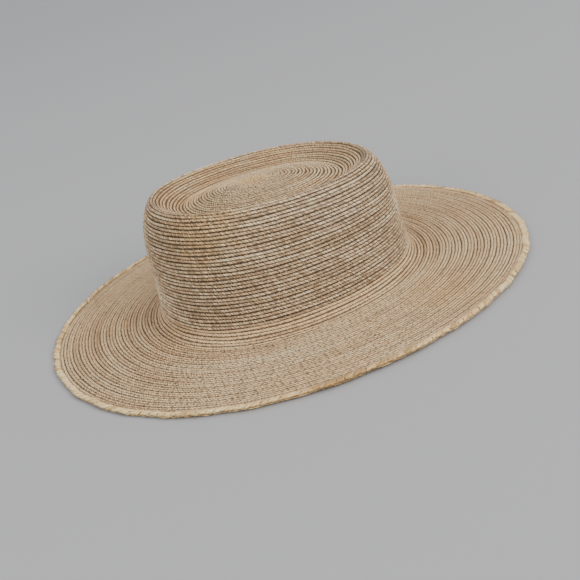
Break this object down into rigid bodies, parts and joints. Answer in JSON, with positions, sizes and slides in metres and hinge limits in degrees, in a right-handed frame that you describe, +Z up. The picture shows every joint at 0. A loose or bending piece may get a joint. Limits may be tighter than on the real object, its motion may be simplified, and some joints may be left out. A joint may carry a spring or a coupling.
{
  "type": "straw boater hat",
  "caption": "Boater hat of sewn natural straw braid, with an oval crown, a sunken and domed tip and a wide level brim with a bound edge.",
  "frame": {"origin": "on the surface that the hat rests on, under the middle of its outline", "axes": "+Z up through the crown, +X to the front of the hat, +Y to its left side"},
  "size_m": [0.36, 0.3368, 0.0889],
  "materials": {
    "straw": "natural sewn palm straw braid, matt with a slight sheen",
    "straw_tip": "natural sewn palm straw braid, a little greyer",
    "straw_edge": "wider natural straw braid, a little yellower"
  },
  "bodies": {
    "root": {"crown_tip": "straw_tip", "crown": "straw", "brim": "straw", "edge_braid": "straw_edge"}
  },
  "joints": []
}
